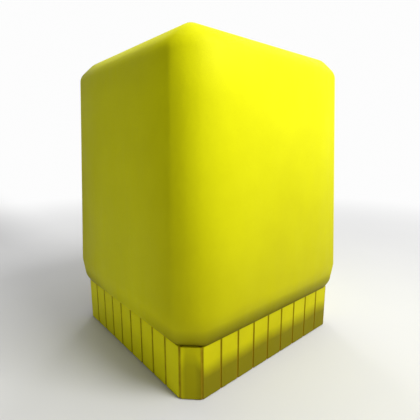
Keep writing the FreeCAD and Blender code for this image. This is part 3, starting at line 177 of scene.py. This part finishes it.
# ------------------------------------------------------------------ materials
class Shade:
    """A small wrapper that builds one node material around a Principled shader."""

    def __init__(self, name):
        self.material = bpy.data.materials.new(name)
        self.material.use_nodes = True
        self.tree = self.material.node_tree
        self.shader = self.tree.nodes["Principled BSDF"]
        self.place = self.tree.nodes.new("ShaderNodeTexCoord").outputs["Object"]

    def node(self, kind, **values):
        made = self.tree.nodes.new(kind)
        for key, value in values.items():
            setattr(made, key, value)
        return made

    def join(self, source, target):
        self.tree.links.new(source, target)

    def set(self, socket, value):
        self.shader.inputs[socket].default_value = value

    def feed(self, socket, source):
        self.join(source, self.shader.inputs[socket])

    def colour(self, source):
        self.feed("Base Color", source)

    def stretched(self, scale):
        mapping = self.node("ShaderNodeMapping")
        mapping.inputs["Scale"].default_value = scale
        self.join(self.place, mapping.inputs["Vector"])
        return mapping.outputs["Vector"]

    def noise(self, scale, detail=4, roughness=0.5, vector=None, distortion=0.0):
        made = self.node("ShaderNodeTexNoise")
        made.inputs["Scale"].default_value = scale
        made.inputs["Detail"].default_value = detail
        made.inputs["Roughness"].default_value = roughness
        made.inputs["Distortion"].default_value = distortion
        self.join(vector or self.place, made.inputs["Vector"])
        return made.outputs["Fac"]

    def cells(self, scale):
        made = self.node("ShaderNodeTexVoronoi")
        made.inputs["Scale"].default_value = scale
        self.join(self.place, made.inputs["Vector"])
        return made.outputs["Distance"]

    def ramp(self, source, *stops):
        made = self.node("ShaderNodeValToRGB")
        elements = made.color_ramp.elements
        while len(elements) < len(stops):
            elements.new(0.5)
        for element, (position, value) in zip(elements, stops):
            element.position = position
            element.color = (value, value, value, 1) if isinstance(value, (int, float)) else (*value, 1)
        self.join(source, made.inputs["Fac"])
        return made.outputs["Color"]

    def span(self, source, low, high, start=0.0, end=1.0):
        made = self.node("ShaderNodeMapRange", clamp=True)
        for key, value in (("From Min", low), ("From Max", high), ("To Min", start), ("To Max", end)):
            made.inputs[key].default_value = value
        self.join(source, made.inputs["Value"])
        return made.outputs["Result"]

    def math(self, operation, first, second=None):
        made = self.node("ShaderNodeMath", operation=operation)
        for socket, value in zip(made.inputs, (first, second)):
            if value is None:
                continue
            if isinstance(value, (int, float)):
                socket.default_value = value
            else:
                self.join(value, socket)
        return made.outputs["Value"]

    def mix_colour(self, factor, first, second, blend="MIX"):
        made = self.node("ShaderNodeMix", data_type="RGBA", blend_type=blend)
        for socket, value in ((made.inputs[0], factor), (made.inputs[6], first), (made.inputs[7], second)):
            if isinstance(value, (int, float)):
                socket.default_value = value
            elif isinstance(value, tuple):
                socket.default_value = (*value, 1)
            else:
                self.join(value, socket)
        return made.outputs[2]

    def axis(self, name):
        made = self.node("ShaderNodeSeparateXYZ")
        self.join(self.place, made.inputs["Vector"])
        return made.outputs[name]

    def bump(self, height, strength, distance, under=None):
        made = self.node("ShaderNodeBump")
        made.inputs["Strength"].default_value = strength
        made.inputs["Distance"].default_value = distance
        self.join(height, made.inputs["Height"])
        if under is not None:
            self.join(under, made.inputs["Normal"])
        return made.outputs["Normal"]

    def soft_edges(self, radius):
        """Edges catch the light as if they were broken by this radius."""
        made = self.node("ShaderNodeBevel", samples=4)
        made.inputs["Radius"].default_value = radius
        return made.outputs["Normal"]

    def done(self):
        return self.material


YELLOW = (0.76, 0.755, 0.002)
YELLOW_PALE = (0.82, 0.815, 0.005)
# Dull yellow for the pigment speckle, and the colour that painted shade darkens the lower ends towards
YELLOW_WORN_AND_SHADED = (0.47, 0.425, 0.002)
# A brighter copy of the casing yellow: painted light for the plinth, which the casing above shades
PLINTH_LIT_YELLOW = (0.90, 0.86, 0.003)
PLINTH_LIT_PALE = (0.95, 0.92, 0.006)
# Brown of the groove dirt, which also paints shade into the grooves
GROOVE_BROWN = (0.30, 0.20, 0.004)
# Painted shade with some grime for the casing's lower rim
RIM_SHADE_AND_GRIME = (0.16, 0.135, 0.002)
# Painted shade with some road splash, low on the plinth
SPLASH_AND_SHADE = (0.17, 0.145, 0.003)
# Upward tilt of the casing's skin from its lower rim to its top, as (height share, 0.5 + tilt / 2)
SKIN_TILT = ((0.0, 0.10), (0.03, 0.20), (0.113, 0.43), (0.45, 0.485), (0.80, 0.53), (0.92, 0.64),
             (1.0, 1.0))
SKIN_TURN_POWER = 4.5
# Next two: how far painted shade climbs on the plinth's cut corners, and how thick the painted shade lies
CORNER_SHADE_REACH = 0.30
SPLASH_AND_SHADE_COVER = 0.88
# Height band of the painted rim shade above the casing's lower edge
SHADED_GRIMY_RIM = (4 * MM, 46 * MM)
GROOVE_EDGE = (1.6 * MM, 4.2 * MM)


def spray_and_shade_by_face(shade, reach=0.20, full=0.0):
    """1 on the front and back, little on the sides: where painted shade and road spray go; it wraps the
    corners by reach.
    """
    x, y = shade.axis("X"), shade.axis("Y")
    lead = shade.math("SUBTRACT", shade.math("ABSOLUTE", y), shade.math("ABSOLUTE", x))
    return shade.span(lead, -reach, full, 0.12, 1.0)


def speckled_yellow(shade, low_z, high_z, spray_and_shade_face, dulling=0.85, fresh=YELLOW, pale=YELLOW_PALE):
    """Moulded polyethylene: fine pigment speckle, cloudy fading and a lower end darkened by painted shade
    with some dust.
    """
    speckle = shade.ramp(shade.noise(620, 2, 0.6), (0.36, 0.0), (0.62, 1.0))
    cloud = shade.ramp(shade.noise(5.5, 4, 0.55), (0.3, 0.0), (0.7, 1.0))
    base = shade.mix_colour(cloud, fresh, pale)
    base = shade.mix_colour(shade.math("MULTIPLY", speckle, 0.12), base, YELLOW_WORN_AND_SHADED)
    height = shade.span(shade.axis("Z"), low_z, high_z)
    uneven = shade.math("ADD", height, shade.math("MULTIPLY", shade.noise(9, 5), 0.35))
    # painted shade with some dust: darker towards the lower end, most on the front and back
    dust_and_shade = shade.math("MULTIPLY", shade.ramp(uneven, (0.15, 1.0), (0.98, 0.0)), spray_and_shade_face)
    return shade.mix_colour(shade.math("MULTIPLY", dust_and_shade, dulling), base, YELLOW_WORN_AND_SHADED)


def soft_normal(shade):
    """The casing's outer skin turns softly from face to face, as thick moulded plastic does."""
    x, y, z = (shade.axis(name) for name in "XYZ")
    half = shade.span(z, HIP_HEIGHT, SHOULDER_HEIGHT, HIP_HALF, SHOULDER_HALF)

    def turned(value):
        share = shade.math("MINIMUM", shade.math("DIVIDE", shade.math("ABSOLUTE", value), half), 1.0)
        turn = shade.math("POWER", share, SKIN_TURN_POWER)
        return shade.math("MULTIPLY", turn, shade.math("SIGN", value))

    rise = shade.ramp(shade.span(z, CASING_LOW.z, CASING_HIGH.z), *SKIN_TILT)
    field = shade.node("ShaderNodeCombineXYZ")
    shade.join(turned(x), field.inputs["X"])
    shade.join(turned(y), field.inputs["Y"])
    shade.join(shade.math("SUBTRACT", shade.math("MULTIPLY", rise, 2.0), 1.0), field.inputs["Z"])
    unit = shade.node("ShaderNodeVectorMath", operation="NORMALIZE")
    shade.join(field.outputs["Vector"], unit.inputs[0])
    true = shade.node("ShaderNodeNewGeometry").outputs["Normal"]
    agree = shade.node("ShaderNodeVectorMath", operation="DOT_PRODUCT")
    shade.join(true, agree.inputs[0])
    shade.join(unit.outputs["Vector"], agree.inputs[1])
    mixed = shade.node("ShaderNodeMix", data_type="VECTOR")
    shade.join(shade.span(agree.outputs["Value"], 0.35, 0.7), mixed.inputs[0])
    shade.join(true, mixed.inputs[4])
    shade.join(unit.outputs["Vector"], mixed.inputs[5])
    done = shade.node("ShaderNodeVectorMath", operation="NORMALIZE")
    shade.join(mixed.outputs[1], done.inputs[0])
    return done.outputs["Vector"]


def moulded_surface(shade, grain=240, grain_depth=0.0007, under=None):
    """Orange-peel skin, pigment grain and a few fine scuffs in the gloss."""
    peel = shade.bump(shade.noise(85, 3, 0.5), 0.16, 0.0016, under)
    skin = shade.bump(shade.noise(grain, 3, 0.6), 0.22, grain_depth, peel)
    shade.feed("Normal", skin)
    scuffs = shade.noise(30, 6, 0.7, shade.stretched((1, 1, 0.25)), 0.6)
    shade.feed("Roughness", shade.span(scuffs, 0.3, 0.75, 0.46, 0.62))
    shade.set("Specular IOR Level", 0.045)


def yellow_casing():
    shade = Shade("yellow_casing")
    spray_and_shade_face = spray_and_shade_by_face(shade)
    base = speckled_yellow(shade, CASING_LOW.z, CASING_HIGH.z, spray_and_shade_face)
    # painted shade with some grime along the lower rim, most on the front and back
    low, high = (CASING_LOW.z + rise for rise in SHADED_GRIMY_RIM)
    rim = shade.span(shade.axis("Z"), low, high, 0.92, 0.0)
    shade.colour(shade.mix_colour(shade.math("MULTIPLY", rim, spray_and_shade_face), base, RIM_SHADE_AND_GRIME))
    moulded_surface(shade, under=soft_normal(shade))
    return shade.done()


def groove_distance(shade):
    """Distance from the nearest groove line of the plinth, along the face that it is on."""
    x, y = shade.axis("X"), shade.axis("Y")
    on_side = shade.math("GREATER_THAN", shade.math("ABSOLUTE", x), shade.math("ABSOLUTE", y))
    along = shade.math("ADD", shade.math("MULTIPLY", y, on_side),
                       shade.math("MULTIPLY", x, shade.math("SUBTRACT", 1.0, on_side)))
    pitch = GROOVE_SPAN / GROOVE_BAYS
    bays = shade.math("DIVIDE", shade.math("ADD", along, GROOVE_SPAN / 2), pitch)
    offset = shade.math("ABSOLUTE", shade.math("SUBTRACT", bays, shade.math("ROUND", bays)))
    return shade.math("MULTIPLY", offset, pitch)


def corner_shade_share(shade):
    """How much higher the painted shade and splash reach on the plinth's cut corners."""
    x, y = shade.axis("X"), shade.axis("Y")
    apart = shade.math("SUBTRACT", shade.math("ABSOLUTE", x), shade.math("ABSOLUTE", y))
    return shade.span(shade.math("ABSOLUTE", apart), 0.012, 0.038, CORNER_SHADE_REACH, 0.0)


def yellow_plinth():
    shade = Shade("yellow_plinth")
    spray_and_shade_face = spray_and_shade_by_face(shade, 0.040, -0.015)
    base = speckled_yellow(shade, SKIRT_LOW.z, CASING_HIGH.z, spray_and_shade_face, 1.0, PLINTH_LIT_YELLOW, PLINTH_LIT_PALE)
    height = shade.span(shade.axis("Z"), SKIRT_LOW.z, SKIRT_HIGH.z)
    # painted shade with some splash on the lower plinth, climbing higher and thinner on the cut corners
    corner = corner_shade_share(shade)
    height = shade.math("SUBTRACT", height, corner)
    ragged = shade.math("ADD", height, shade.math("MULTIPLY", shade.noise(14, 5), 0.22))
    splash_and_shade = shade.math("MULTIPLY", shade.ramp(ragged, (0.50, 1.0), (0.80, 0.0)), spray_and_shade_face)
    thickness = shade.math("SUBTRACT", SPLASH_AND_SHADE_COVER, shade.math("MULTIPLY", corner, 1.4))
    base = shade.mix_colour(shade.math("MULTIPLY", splash_and_shade, thickness), base, SPLASH_AND_SHADE)
    # brown dirt with painted shade along the groove lines
    near = shade.span(groove_distance(shade), *GROOVE_EDGE, 1.0, 0.0)
    groove_dirt_and_shade = shade.math("MULTIPLY", near, shade.span(shade.noise(60, 4), 0.25, 0.6, 0.62, 0.95))
    shade.colour(shade.mix_colour(groove_dirt_and_shade, base, GROOVE_BROWN))
    moulded_surface(shade)
    return shade.done()


def yellow_door():
    shade = Shade("yellow_door")
    # the door's lower end gets the same painted shade with some dust
    shade.colour(speckled_yellow(shade, CASING_LOW.z, CASING_HIGH.z, spray_and_shade_by_face(shade)))
    moulded_surface(shade, 420, 0.0005)
    return shade.done()


STAIN_SHADE = 0.72


def brushed(name, colour, along, roughness):
    """Brushed or rolled metal, its grain drawn out along one direction."""
    shade = Shade(name)
    grain = shade.noise(900, 3, 0.6, shade.stretched(along))
    stain = shade.ramp(shade.noise(18, 5, 0.6), (0.35, 0.0), (0.75, 1.0))
    tint = tuple(c * STAIN_SHADE for c in colour)
    shade.colour(shade.mix_colour(shade.math("MULTIPLY", stain, 0.5), colour, tint))
    shade.set("Metallic", 1.0)
    shade.feed("Roughness", shade.span(grain, 0.3, 0.7, roughness - 0.08, roughness + 0.12))
    shade.feed("Normal", shade.bump(grain, 0.12, 0.0003, shade.soft_edges(0.5 * MM)))
    return shade.done()


def galvanised():
    shade = Shade("galvanised")
    spangle = shade.ramp(shade.cells(110), (0.05, (0.46, 0.48, 0.49)), (0.6, (0.64, 0.66, 0.67)))
    cloud = shade.noise(24, 5, 0.6)
    shade.colour(shade.mix_colour(shade.span(cloud, 0.4, 0.8, 0, 0.5), spangle, (0.42, 0.43, 0.43)))
    shade.set("Metallic", 0.9)
    shade.feed("Roughness", shade.span(cloud, 0.3, 0.7, 0.36, 0.55))
    shade.feed("Normal", shade.bump(shade.noise(300, 2), 0.1, 0.0003, shade.soft_edges(0.4 * MM)))
    return shade.done()


def chrome():
    shade = Shade("chrome")
    smear = shade.noise(45, 5, 0.6)
    shade.colour(shade.mix_colour(smear, (0.80, 0.81, 0.82), (0.70, 0.71, 0.72)))
    shade.set("Metallic", 1.0)
    shade.feed("Roughness", shade.span(smear, 0.35, 0.75, 0.08, 0.24))
    shade.feed("Normal", shade.bump(shade.noise(700, 2), 0.03, 0.0002, shade.soft_edges(0.5 * MM)))
    return shade.done()


def powder_coat(name, colour):
    shade = Shade(name)
    grain = shade.noise(1300, 2, 0.6)
    cloud = shade.noise(12, 4)
    pale = tuple(min(1, c * 1.7 + 0.01) for c in colour)
    shade.colour(shade.mix_colour(shade.span(cloud, 0.45, 0.8, 0, 0.6), colour, pale))
    shade.feed("Roughness", shade.span(grain, 0.3, 0.7, 0.42, 0.6))
    shade.feed("Normal", shade.bump(grain, 0.25, 0.0004, shade.soft_edges(0.5 * MM)))
    return shade.done()


def rubber():
    shade = Shade("rubber")
    grain = shade.noise(800, 3, 0.6)
    cloud = shade.noise(30, 4)
    dulling = shade.span(cloud, 0.45, 0.75)
    shade.colour(shade.mix_colour(dulling, (0.020, 0.020, 0.021), (0.050, 0.048, 0.045)))
    shade.feed("Roughness", shade.span(grain, 0.3, 0.7, 0.62, 0.85))
    shade.feed("Normal", shade.bump(grain, 0.2, 0.0004))
    return shade.done()


def concrete():
    shade = Shade("concrete")
    stones = shade.ramp(shade.cells(95), (0.1, (0.30, 0.29, 0.27)), (0.5, (0.50, 0.49, 0.46)))
    sand = shade.noise(420, 4, 0.7)
    shade.colour(shade.mix_colour(shade.span(sand, 0.35, 0.7), stones, (0.40, 0.39, 0.37)))
    shade.set("Roughness", 0.92)
    shade.feed("Normal", shade.bump(sand, 0.5, 0.001))
    return shade.done()


def clear_sheet():
    """Polycarbonate glazing with faint wiping haze."""
    shade = Shade("clear_sheet")
    haze = shade.noise(26, 5, 0.6, shade.stretched((1, 1, 0.4)))
    shade.colour(shade.mix_colour(haze, (0.93, 0.96, 0.95), (0.86, 0.90, 0.89)))
    shade.set("Transmission Weight", 1.0)
    shade.set("IOR", 1.45)
    shade.feed("Roughness", shade.span(haze, 0.45, 0.8, 0.0, 0.10))
    shade.feed("Normal", shade.bump(shade.noise(7, 2), 0.02, 0.001))
    return shade.done()


def card():
    """Plain card with generic printed bands and no lettering."""
    shade = Shade("card")
    fibre = shade.noise(700, 4, 0.6)
    paper = shade.mix_colour(fibre, (0.80, 0.79, 0.74), (0.72, 0.71, 0.66))
    low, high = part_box("price_card")
    height = shade.span(shade.axis("Z"), low.z, high.z)
    banner = shade.math("GREATER_THAN", height, 0.68)
    across = shade.span(shade.axis("X"), low.x, high.x)
    swatch = shade.math("LESS_THAN", shade.math("ABSOLUTE", shade.math("SUBTRACT", across, 0.16)), 0.10)
    swatch = shade.math("MULTIPLY", swatch, shade.math("LESS_THAN", height, 0.56))
    paper = shade.mix_colour(banner, paper, (0.03, 0.09, 0.26))
    shade.colour(shade.mix_colour(swatch, paper, (0.55, 0.06, 0.04)))
    shade.set("Roughness", 0.8)
    shade.feed("Normal", shade.bump(fibre, 0.15, 0.0003))
    return shade.done()


MATERIALS = {
    "galvanised_steel": galvanised(),
    "rubber": rubber(),
    "concrete": concrete(),
    "zinc_fasteners": brushed("zinc", (0.66, 0.66, 0.63), (1, 1, 1), 0.34),
    "black_steel": powder_coat("black_powder_coat", (0.022, 0.022, 0.024)),
    "stainless_steel": brushed("stainless", (0.60, 0.60, 0.59), (0.04, 1, 1), 0.30),
    "chrome": chrome(),
    "spring_steel": brushed("spring_wire", (0.48, 0.48, 0.49), (1, 1, 1), 0.28),
    "clear_plastic": clear_sheet(),
    "hook_steel": brushed("passivated", (0.56, 0.48, 0.30), (1, 1, 1), 0.36),
    "card": card(),
    "mechanism_casting": powder_coat("die_casting", (0.28, 0.29, 0.30)),
}
YELLOW_NODES = {
    "casing_shell": yellow_casing(),
    "base_skirt": yellow_plinth(),
    "door_frame": yellow_door(),
}


def dress_nodes():
    """Give every CAD node its material."""
    for entry in frame["record"]["subparts"]:
        node, slot = entry["node"], entry["material_slot"]
        thing = NODES[node]
        thing.data.materials.clear()
        thing.data.materials.append(YELLOW_NODES.get(node) or MATERIALS[slot])


# ------------------------------------------------------------------ building on the leaning front
FRONT_LEAN = math.atan2(HIP_HALF - SHOULDER_HALF, SHOULDER_HEIGHT - HIP_HEIGHT)


def on_front(x, depth, height):
    """A point on the leaning front, from (x, depth behind the front face, height), all in mm."""
    behind, rise = depth * MM, height * MM - HIP_HEIGHT
    return Vector((x * MM,
                   -HIP_HALF + behind * math.cos(FRONT_LEAN) + rise * math.sin(FRONT_LEAN),
                   HIP_HEIGHT - behind * math.sin(FRONT_LEAN) + rise * math.cos(FRONT_LEAN)))


def join_rings(mesh, rings):
    """Skin between each ring of vertices and the next."""
    for ring, following in zip(rings, rings[1:]):
        for i in range(len(ring)):
            j = (i + 1) % len(ring)
            mesh.faces.new((ring[i], ring[j], following[j], following[i]))


def piece_from(mesh, name, material):
    """A scene object from a bmesh, smooth but for the flat ends of wires."""
    bmesh.ops.recalc_face_normals(mesh, faces=mesh.faces)
    data = bpy.data.meshes.new(name)
    mesh.to_mesh(data)
    mesh.free()
    for face in data.polygons:
        face.use_smooth = len(face.vertices) == 4
    data.materials.append(material)
    piece = bpy.data.objects.new(name, data)
    SCENE.collection.objects.link(piece)
    return piece


# ------------------------------------------------------------------ trims round the front openings
# Each opening as (half width, low, high, corner radius) in mm, each section as (outward, depth) in mm
CASING_OPENING = (188, 213, 690, 10)
WINDOW_OPENING = (148, 278, 484, 14)
OPENING_TRIM = [(-1.2, 4.4), (-1.2, 0.0), (-0.6, -1.2), (1.6, -1.6), (3.9, -1.2), (4.5, 0.0),
                (2.0, -0.1), (0.05, 0.0), (0.05, 4.4)]
WINDOW_BEAD = [(-2.6, 1.8), (-2.8, -4.8), (-2.0, -6.8), (0.2, -7.8), (2.4, -7.4), (3.4, -6.1),
               (1.8, -6.02), (-0.05, -6.0), (-0.05, 1.8)]


def rounded_outline(half, low, high, radius, steps=10):
    """Points and outward directions round a rectangle with rounded corners."""
    outline = []
    corners = ((half, high, 0), (-half, high, 90), (-half, low, 180), (half, low, 270))
    for x, z, start in corners:
        centre_x = x - math.copysign(radius, x)
        centre_z = z - radius if z == high else z + radius
        for step in range(steps + 1):
            angle = math.radians(start + 90 * step / steps)
            outward = (math.cos(angle), math.sin(angle))
            outline.append((centre_x + radius * outward[0], centre_z + radius * outward[1], outward))
    return outline


def swept_trim(name, outline, profile, body, material):
    """A closed rubber section swept once round an outline."""
    mesh = bmesh.new()
    rings = []
    for x, z, turn in outline:
        rings.append([mesh.verts.new(on_front(x + out * turn[0], depth, z + out * turn[1]))
                      for out, depth in profile])
    join_rings(mesh, rings + rings[:1])
    piece = piece_from(mesh, name, material)
    rounding = piece.modifiers.new("rounding", "SUBSURF")
    rounding.levels = rounding.render_levels = 1
    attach(piece, body)


def make_trims():
    """Push-on edging round the casing's opening and the glazing bead round the door's window."""
    swept_trim("opening_trim", rounded_outline(*CASING_OPENING), OPENING_TRIM,
               "cabinet", MATERIALS["rubber"])
    swept_trim("window_bead", rounded_outline(*WINDOW_OPENING), WINDOW_BEAD,
               "door", MATERIALS["rubber"])


# ------------------------------------------------------------------ springs on the button and the door hinge
WIRE_SIDES = 10
STEPS_PER_TURN = 28

BUTTON_X, BUTTON_HEIGHT = 76, 652
BUTTON_COIL_RADIUS, BUTTON_COIL_PITCH, BUTTON_WIRE = 4.6, 2.4, 0.5
BUTTON_COIL_FRONT, BUTTON_COIL_LENGTH = 7.2, 14.2
BUTTON_SPRING_BACK = 21.9

HINGE_DEPTH, HINGE_HEIGHT = 3.0, 218.5
DOOR_COIL_RADIUS, DOOR_COIL_PITCH, DOOR_WIRE = 3.1, 2.0, 0.8
DOOR_SPRING_START, DOOR_SPRING_LENGTH = 162.5, 14.0
DOOR_LEG_HEIGHTS = (220.5, 228.0, 236.0)
DOOR_FRONT_LEG_DEPTH, DOOR_REAR_LEG_DEPTH = 1.9, 4.1


def helix(radius, pitch, length, place):
    """Points of a coil; place turns (cosine, advance, sine) in mm into a point."""
    steps = round(length / pitch * STEPS_PER_TURN)
    points = []
    for step in range(steps + 1):
        turn = 2 * math.pi * length / pitch * step / steps
        points.append(place(radius * math.cos(turn), length * step / steps, radius * math.sin(turn)))
    return points


def wind_wire(mesh, points, radius):
    """A round wire of this radius in mm along the points, closed at both ends."""
    angles = [2 * math.pi * k / WIRE_SIDES for k in range(WIRE_SIDES)]
    rings, side = [], None
    for i, point in enumerate(points):
        ahead = (points[min(i + 1, len(points) - 1)] - points[max(i - 1, 0)]).normalized()
        side = ahead.orthogonal() if side is None else side - ahead * side.dot(ahead)
        side.normalize()
        across = ahead.cross(side)
        rings.append([mesh.verts.new(point + radius * MM * (side * math.cos(a) + across * math.sin(a)))
                      for a in angles])
    join_rings(mesh, rings)
    mesh.faces.new(rings[0])
    mesh.faces.new(rings[-1])


def wire_piece(name, body, wires):
    """One spring-steel piece made of wires, each given as (points, radius)."""
    mesh = bmesh.new()
    for points, radius in wires:
        wind_wire(mesh, points, radius)
    piece = piece_from(mesh, name, MATERIALS["spring_steel"])
    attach(piece, body)
    return piece


def make_button_spring():
    """The coil behind the return button, built at its rest length and fixed to the cabinet."""
    def place(a, t, b):
        return on_front(BUTTON_X + a, BUTTON_COIL_FRONT + t, BUTTON_HEIGHT - b)

    coil = helix(BUTTON_COIL_RADIUS, BUTTON_COIL_PITCH, BUTTON_COIL_LENGTH, place)
    piece = wire_piece("coil_spring", "cabinet", [(coil, BUTTON_WIRE)])
    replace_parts(piece, "button_spring")
    tuple(on_front(BUTTON_X, BUTTON_SPRING_BACK, BUTTON_HEIGHT))
    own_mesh(piece)


def make_door_springs():
    """Torsion springs on the hinge pin: coils and rear legs stay, front legs go with the door."""
    still, moving = [], []
    for hand in (-1, 1):
        def place(a, t, b):
            return on_front(hand * (DOOR_SPRING_START + t), HINGE_DEPTH + b, HINGE_HEIGHT - a)

        def leg(x, depth):
            return [on_front(hand * x, depth, height) for height in DOOR_LEG_HEIGHTS]

        coil = helix(DOOR_COIL_RADIUS, DOOR_COIL_PITCH, DOOR_SPRING_LENGTH, place)
        still.append((coil, DOOR_WIRE))
        still.append((leg(DOOR_SPRING_START + DOOR_SPRING_LENGTH, DOOR_REAR_LEG_DEPTH), DOOR_WIRE))
        moving.append((leg(DOOR_SPRING_START, DOOR_FRONT_LEG_DEPTH), DOOR_WIRE))
    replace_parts(wire_piece("door_spring_coils", "cabinet", still), "door_springs")
    wire_piece("door_spring_legs", "door", moving)


make_camera()
make_light()
make_floor()
dress_nodes()
make_trims()
make_button_spring()
make_door_springs()
